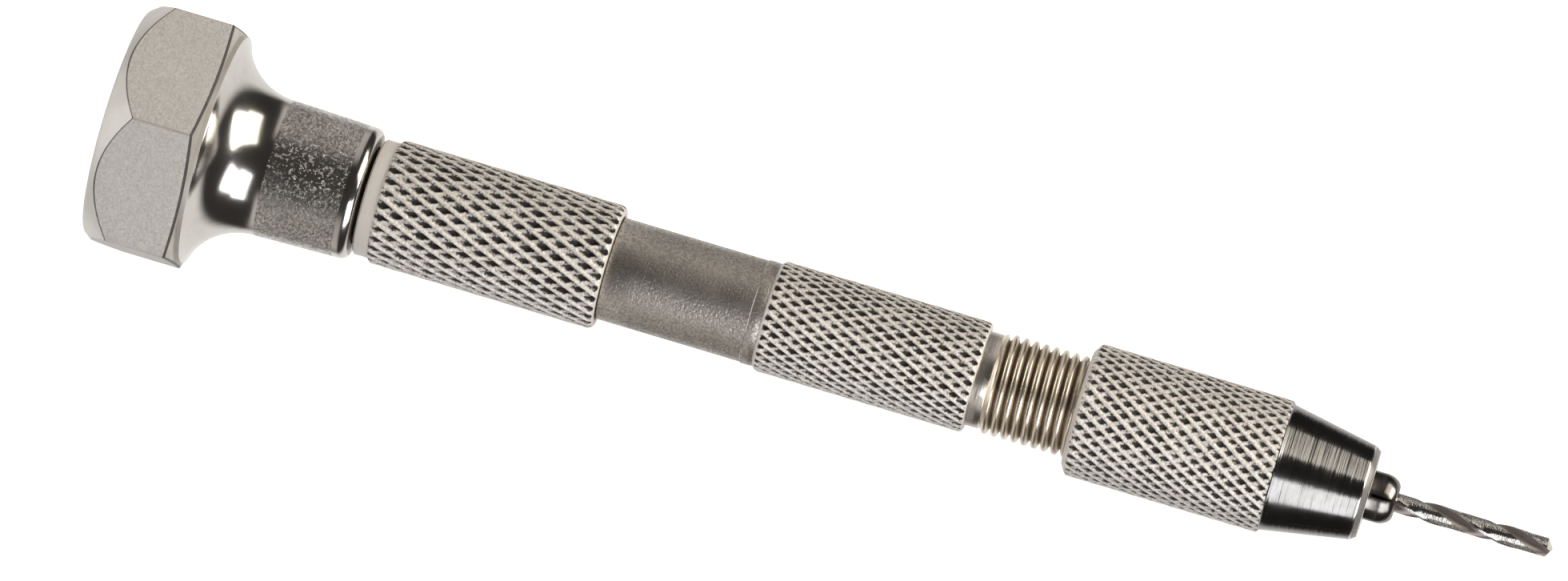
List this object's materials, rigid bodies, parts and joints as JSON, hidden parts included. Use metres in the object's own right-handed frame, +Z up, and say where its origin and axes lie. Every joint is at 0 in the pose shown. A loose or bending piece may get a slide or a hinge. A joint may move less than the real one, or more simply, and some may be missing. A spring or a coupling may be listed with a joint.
{
  "type": "pin vise",
  "caption": "Slim hand-held pin vise with a swivelling hexagonal palm head, knurled grips and a screwed chuck nut that closes a split collet on a small twist drill.",
  "frame": {"origin": "centre of the flat palm face of the hexagonal head", "axes": "+X along the tool's axis from the palm face to the drill point, +Z up out of one flat of the hexagon, whose opposite flat faces down"},
  "size_m": [0.1146, 0.0214, 0.0186],
  "materials": {
    "nickel_head": "satin nickel plate on the flats, bright nickel on the flare",
    "nickel_knurl": "satin nickel plate, knurled",
    "nickel_polished": "bright nickel plate with fine turning lines, knurled grip",
    "hard_steel": "polished hardened steel",
    "drill_steel": "ground high-speed steel",
    "plated_steel": "zinc plate",
    "bearing_brass": "plain brass"
  },
  "bodies": {
    "barrel": {"barrel": "nickel_knurl"},
    "collet": {"collet": "hard_steel"},
    "nut": {"chuck_nut": "nickel_polished"},
    "drill": {"drill_bit": "drill_steel"},
    "cap_washer": {"retaining_washer": "plated_steel"},
    "cap": {"rear_sleeve": "nickel_knurl", "thrust_washer": "bearing_brass"},
    "head": {"swivel_head": "nickel_head", "pivot_screw": "plated_steel"},
    "spare": {"spare_collet": "hard_steel"}
  },
  "joints": [
    {"name": "nut_travel", "type": "slide", "parent": "barrel", "child": "collet", "axis": [1, 0, 0], "range_m": [0, 0.00794]},
    {"name": "nut_turn", "type": "hinge", "parent": "collet", "child": "nut", "pos_m": [0.09, 0, 0], "axis": [1, 0, 0], "range_deg": [0, 3605]},
    {"name": "drill_slide", "type": "slide", "parent": "collet", "child": "drill", "axis": [1, 0, 0], "range_m": [-0.01, 0.02]},
    {"name": "cap_travel", "type": "slide", "parent": "barrel", "child": "cap_washer", "axis": [-1, 0, 0], "range_m": [0, 0.006]},
    {"name": "cap_turn", "type": "hinge", "parent": "cap_washer", "child": "cap", "pos_m": [0.03, 0, 0], "axis": [-1, 0, 0], "range_deg": [0, 2885]},
    {"name": "head_spin", "type": "hinge", "parent": "cap", "child": "head", "pos_m": [0.01, 0, 0], "axis": [1, 0, 0], "continuous": true},
    {"name": "spare_float", "type": "slide", "parent": "barrel", "child": "spare", "axis": [1, 0, 0], "range_m": [-0.0005, 0.0005]}
  ],
  "couplings": [
    {"joint": "nut_turn", "follows": "nut_travel", "rad_per_m": 7915.8},
    {"joint": "cap_turn", "follows": "cap_travel", "rad_per_m": 8377.6}
  ]
}
